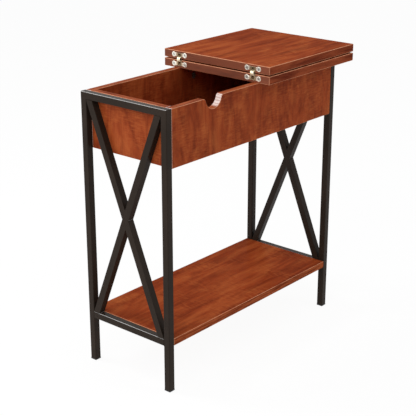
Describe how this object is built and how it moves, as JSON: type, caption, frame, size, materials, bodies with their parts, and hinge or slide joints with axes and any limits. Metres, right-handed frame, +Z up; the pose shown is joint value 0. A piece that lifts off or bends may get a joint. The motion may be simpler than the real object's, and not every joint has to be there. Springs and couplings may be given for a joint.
{
  "type": "flip-top table",
  "caption": "Narrow side table with dark steel end frames, a storage box and shelf in red-brown wood, and a leaf that flips over on concealed link hinges to open the box.",
  "frame": {"origin": "Middle of the rest box's footprint, on the floor, with the leaf folded over onto the fixed half.", "axes": "+Z up, +X along the table towards the end that carries the folded top, -Y the front with the notch."},
  "size_m": [0.582, 0.286, 0.63],
  "materials": {
    "wood_veneer": "satin red-brown wood grain",
    "edge_band": "satin red-brown edging",
    "black_steel": "satin near-black powder coat",
    "black_plastic": "matt black",
    "cast_zinc": "bright plated zinc casting",
    "brass": "polished brass",
    "zinc_plated_steel": "zinc-plated steel",
    "dowel_wood": "plain beech"
  },
  "bodies": {
    "table": {"back_board": "wood_veneer", "box_floor": "wood_veneer", "cam_bolts": "zinc_plated_steel", "cam_discs": "cast_zinc", "dowels": "dowel_wood", "far_hinge_fixed_pin": "zinc_plated_steel", "far_hinge_fixed_plate": "cast_zinc", "fixed_hinge_screws": "zinc_plated_steel", "fixed_top": "wood_veneer", "fixed_top_edge_band": "edge_band", "frame_bolts": "zinc_plated_steel", "front_board": "wood_veneer", "left_back_foot": "black_plastic", "left_back_post": "black_steel", "left_bottom_rail": "black_steel", "left_end_board": "wood_veneer", "left_front_foot": "black_plastic", "left_front_post": "black_steel", "left_long_brace": "black_steel", "left_lower_brace": "black_steel", "left_shelf_tabs": "black_steel", "left_top_rail": "black_steel", "left_upper_brace": "black_steel", "near_hinge_fixed_pin": "zinc_plated_steel", "near_hinge_fixed_plate": "cast_zinc", "right_back_foot": "black_plastic", "right_back_post": "black_steel", "right_bottom_rail": "black_steel", "right_end_board": "wood_veneer", "right_front_foot": "black_plastic", "right_front_post": "black_steel", "right_long_brace": "black_steel", "right_lower_brace": "black_steel", "right_shelf_tabs": "black_steel", "right_top_rail": "black_steel", "right_upper_brace": "black_steel", "shelf": "wood_veneer", "shelf_screws": "zinc_plated_steel", "threaded_inserts": "zinc_plated_steel"},
    "hinge_links": {"far_link_plates": "brass", "far_link_rivet": "zinc_plated_steel", "far_link_spacer": "brass", "near_link_plates": "brass", "near_link_rivet": "zinc_plated_steel", "near_link_spacer": "brass"},
    "flip_leaf": {"far_hinge_leaf_pin": "zinc_plated_steel", "far_hinge_leaf_plate": "cast_zinc", "leaf": "wood_veneer", "leaf_edge_band": "edge_band", "leaf_hinge_screws": "zinc_plated_steel", "near_hinge_leaf_pin": "zinc_plated_steel", "near_hinge_leaf_plate": "cast_zinc"}
  },
  "joints": [
    {"name": "link_turn", "type": "hinge", "parent": "table", "child": "hinge_links", "pos_m": [-0.0095, 0, 0.607], "axis": [0, -1, 0], "range_deg": [0, 90]},
    {"name": "leaf_turn", "type": "hinge", "parent": "hinge_links", "child": "flip_leaf", "pos_m": [-0.0095, 0, 0.616], "axis": [0, -1, 0], "range_deg": [0, 90]}
  ],
  "couplings": [
    {"joint": "link_turn", "follows": "leaf_turn", "ratio": 1}
  ]
}
